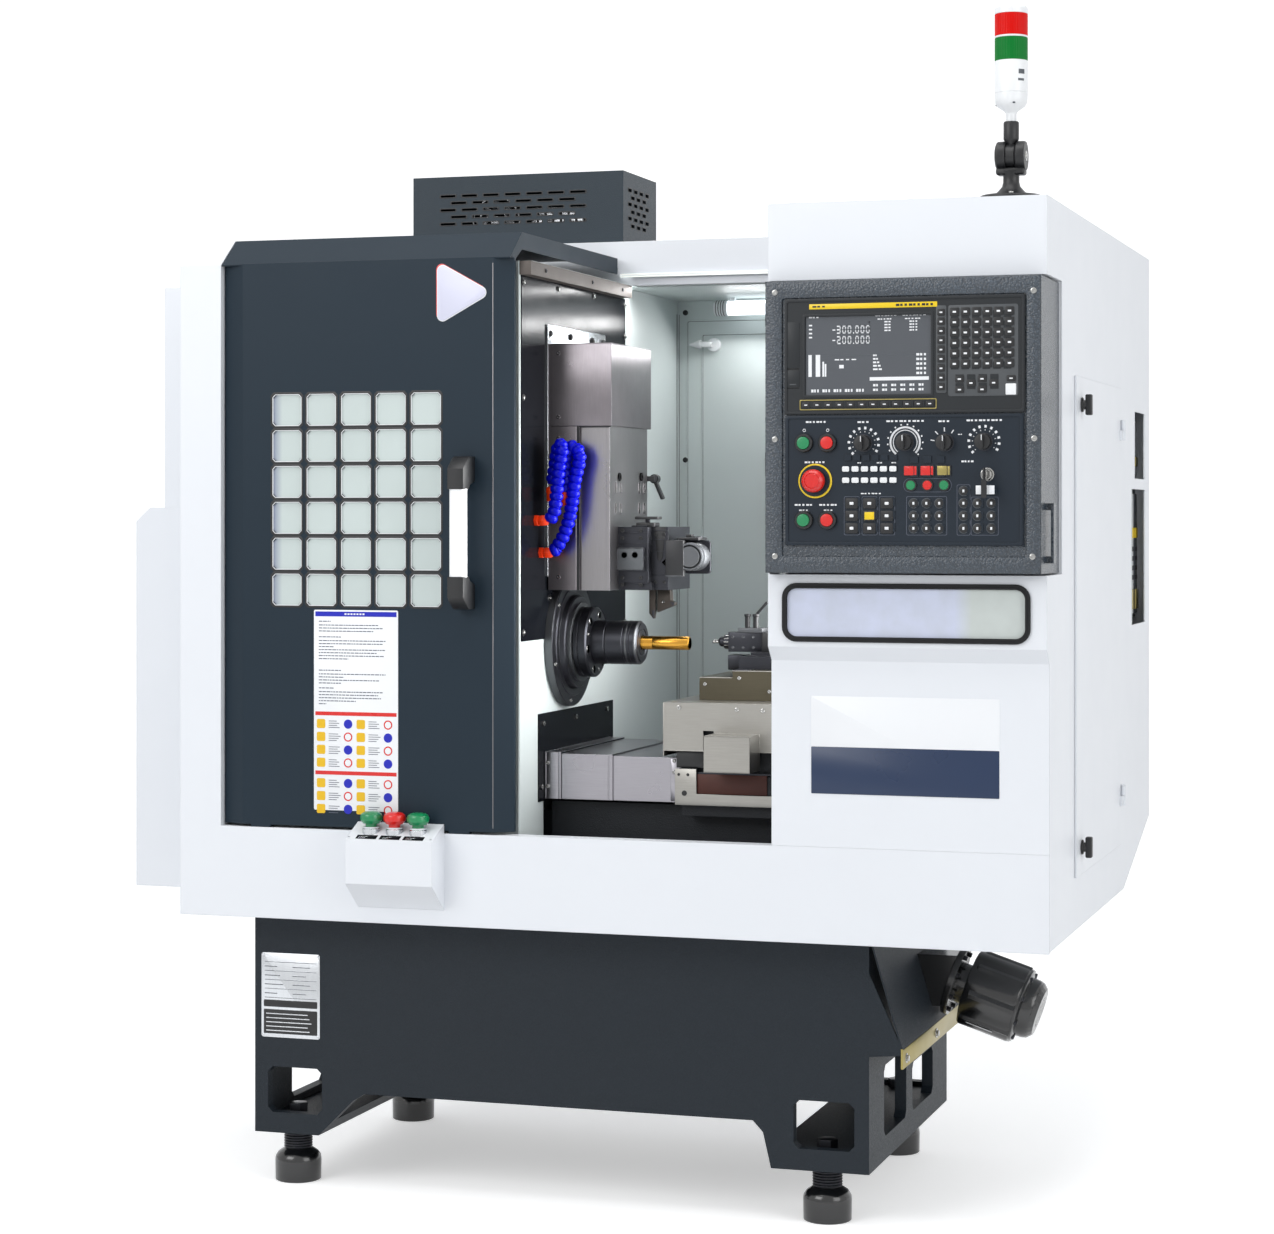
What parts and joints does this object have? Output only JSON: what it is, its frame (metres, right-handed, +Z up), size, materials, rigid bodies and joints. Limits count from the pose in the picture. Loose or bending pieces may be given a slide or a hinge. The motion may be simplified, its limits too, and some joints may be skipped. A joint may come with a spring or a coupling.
{
  "type": "cnc turning lathe",
  "caption": "Enclosed CNC turning lathe on a cast base, with sliding window door, control box on a hinge, live spindle, telescopic way cover, carriage and signal tower.",
  "frame": {"origin": "on the floor under the doorway, at the middle of the enclosure's depth", "axes": "+X towards the control box side, -Y towards the operator, +Z up"},
  "size_m": [1.8425, 1.37, 2.159],
  "materials": {
    "white_paint": "satin",
    "slate_paint": "satin",
    "dark_texture_paint": "textured",
    "charcoal_paint": "textured",
    "stainless_sheet": "brushed",
    "cast_iron": "machined",
    "ground_steel": "ground",
    "dark_plate": "satin",
    "aluminium": "satin",
    "brass": "machined",
    "black_rubber": "matt",
    "clear_glass": "clear",
    "pale_pane": "frosted",
    "black_plastic": "matt",
    "panel_plastic": "matt",
    "white_plastic": "gloss",
    "green_plastic": "gloss",
    "red_plastic": "gloss",
    "lens_plastic": "clear",
    "blue_plastic": "matt",
    "black_steel": "satin",
    "lamp_glass": "frosted",
    "carbide": "ground"
  },
  "bodies": {
    "frame": {"base_casting": "dark_texture_paint", "leveling_feet": "black_steel", "bed_casting": "cast_iron", "enclosure_shell": "white_paint", "left_covers": "white_paint", "right_side_panel": "white_paint", "front_frame": "white_paint", "chamber_liner": "white_paint", "splash_plates": "dark_plate", "front_beam": "white_paint", "right_cabinet": "white_paint", "window_frame": "black_rubber", "window_glass": "clear_glass", "headstock_casting": "cast_iron", "slide_shell": "stainless_sheet", "coolant_hoses": "blue_plastic", "work_light": "lamp_glass", "roof_vent_box": "dark_texture_paint", "tower_base": "black_plastic", "electrical_modules": "black_plastic", "chip_chute": "black_steel", "gear_motor": "cast_iron", "palm_button_box": "white_paint"},
    "front_door": {"sliding_door": "slate_paint", "door_window": "pale_pane", "door_handle": "aluminium"},
    "control_unit": {"control_box": "charcoal_paint", "display_unit": "black_plastic", "operator_panel": "panel_plastic"},
    "power_on": {"power_on_button": "green_plastic"},
    "power_off": {"power_off_button": "red_plastic"},
    "start": {"start_button": "green_plastic"},
    "hold": {"hold_button": "red_plastic"},
    "stop": {"emergency_stop": "red_plastic"},
    "mode_selector": {"mode_knob": "black_plastic"},
    "feed_selector": {"feed_knob": "black_plastic"},
    "spindle_selector": {"spindle_knob": "black_plastic"},
    "rapid_selector": {"rapid_knob": "black_plastic"},
    "key": {"key_switch": "ground_steel"},
    "service_door": {"side_door": "white_paint"},
    "latch_low": {"side_latch_low": "black_plastic"},
    "latch_high": {"side_latch_high": "black_plastic"},
    "spindle": {"spindle_shaft": "ground_steel", "collet_chuck": "ground_steel", "work_bar": "brass"},
    "carriage": {"saddle": "cast_iron", "carriage_cover": "stainless_sheet", "way_cover_inner": "stainless_sheet"},
    "middle_hood": {"way_cover_middle": "stainless_sheet"},
    "cross": {"cross_slide": "ground_steel", "drilling_unit": "ground_steel"},
    "drill_spindle": {"drill": "ground_steel"},
    "tool_slide": {"slide_cover": "stainless_sheet", "tool_block": "ground_steel", "turning_tools": "carbide"},
    "tower": {"tower_head": "white_plastic", "tower_lenses": "lens_plastic"},
    "palm_left": {"palm_button_left": "green_plastic"},
    "palm_middle": {"palm_button_middle": "red_plastic"},
    "palm_right": {"palm_button_right": "green_plastic"}
  },
  "joints": [
    {"name": "door_slide", "type": "slide", "parent": "frame", "child": "front_door", "axis": [1, 0, 0], "range_m": [0, 0.487]},
    {"name": "control_swing", "type": "hinge", "parent": "frame", "child": "control_unit", "pos_m": [0.4055, -0.69, 1.43], "axis": [0, 0, 1], "range_deg": [-90, 0]},
    {"name": "power_on_press", "type": "slide", "parent": "control_unit", "child": "power_on", "axis": [0, 1, 0], "range_m": [0, 0.004], "stiffness_N_per_m": 400, "springref_m": -0.001},
    {"name": "power_off_press", "type": "slide", "parent": "control_unit", "child": "power_off", "axis": [0, 1, 0], "range_m": [0, 0.004], "stiffness_N_per_m": 400, "springref_m": -0.001},
    {"name": "start_press", "type": "slide", "parent": "control_unit", "child": "start", "axis": [0, 1, 0], "range_m": [0, 0.004], "stiffness_N_per_m": 400, "springref_m": -0.001},
    {"name": "hold_press", "type": "slide", "parent": "control_unit", "child": "hold", "axis": [0, 1, 0], "range_m": [0, 0.004], "stiffness_N_per_m": 400, "springref_m": -0.001},
    {"name": "stop_press", "type": "slide", "parent": "control_unit", "child": "stop", "axis": [0, 1, 0], "range_m": [0, 0.006], "stiffness_N_per_m": 400, "springref_m": -0.001},
    {"name": "mode_selector_turn", "type": "hinge", "parent": "control_unit", "child": "mode_selector", "pos_m": [0.583, -0.7, 1.4], "axis": [0, 1, 0], "range_deg": [-75, 75]},
    {"name": "feed_selector_turn", "type": "hinge", "parent": "control_unit", "child": "feed_selector", "pos_m": [0.656, -0.7, 1.401], "axis": [0, 1, 0], "range_deg": [-135, 135]},
    {"name": "spindle_selector_turn", "type": "hinge", "parent": "control_unit", "child": "spindle_selector", "pos_m": [0.726, -0.7, 1.4], "axis": [0, 1, 0], "range_deg": [-75, 75]},
    {"name": "rapid_selector_turn", "type": "hinge", "parent": "control_unit", "child": "rapid_selector", "pos_m": [0.793, -0.7, 1.401], "axis": [0, 1, 0], "range_deg": [-60, 60]},
    {"name": "key_turn", "type": "hinge", "parent": "control_unit", "child": "key", "pos_m": [0.799, -0.7, 1.345], "axis": [0, 1, 0], "range_deg": [0, 90]},
    {"name": "side_door_swing", "type": "hinge", "parent": "frame", "child": "service_door", "pos_m": [0.9035, 0.19, 1.0745], "axis": [0, 0, 1], "range_deg": [0, 110]},
    {"name": "latch_low_turn", "type": "hinge", "parent": "service_door", "child": "latch_low", "pos_m": [0.9, -0.31, 0.671], "axis": [1, 0, 0], "range_deg": [0, 90]},
    {"name": "latch_high_turn", "type": "hinge", "parent": "service_door", "child": "latch_high", "pos_m": [0.9, -0.31, 1.477], "axis": [1, 0, 0], "range_deg": [0, 90]},
    {"name": "spindle_spin", "type": "hinge", "parent": "frame", "child": "spindle", "pos_m": [-0.3, -0.346, 1.034], "axis": [1, 0, 0], "continuous": true},
    {"name": "carriage_travel", "type": "slide", "parent": "frame", "child": "carriage", "axis": [1, 0, 0], "range_m": [-0.028, 0.15]},
    {"name": "hood_travel", "type": "slide", "parent": "frame", "child": "middle_hood", "axis": [1, 0, 0], "range_m": [-0.014, 0.075]},
    {"name": "cross_travel", "type": "slide", "parent": "carriage", "child": "cross", "axis": [0, -1, 0], "range_m": [-0.08, 0.046]},
    {"name": "drill_spin", "type": "hinge", "parent": "cross", "child": "drill_spindle", "pos_m": [0.26, -0.3, 1.036], "axis": [1, 0, 0], "continuous": true},
    {"name": "vertical_travel", "type": "slide", "parent": "frame", "child": "tool_slide", "axis": [0, 0, 1], "range_m": [-0.03, 0.1]},
    {"name": "tower_fold", "type": "hinge", "parent": "frame", "child": "tower", "pos_m": [0.822, -0.598, 1.898], "axis": [1, 0, 0], "range_deg": [-90, 0]},
    {"name": "palm_left_press", "type": "slide", "parent": "frame", "child": "palm_left", "axis": [0, 0, -1], "range_m": [0, 0.005], "stiffness_N_per_m": 900, "springref_m": -0.002},
    {"name": "palm_middle_press", "type": "slide", "parent": "frame", "child": "palm_middle", "axis": [0, 0, -1], "range_m": [0, 0.005], "stiffness_N_per_m": 900, "springref_m": -0.002},
    {"name": "palm_right_press", "type": "slide", "parent": "frame", "child": "palm_right", "axis": [0, 0, -1], "range_m": [0, 0.005], "stiffness_N_per_m": 900, "springref_m": -0.002}
  ],
  "couplings": [
    {"joint": "hood_travel", "follows": "carriage_travel", "ratio": 0.5}
  ]
}
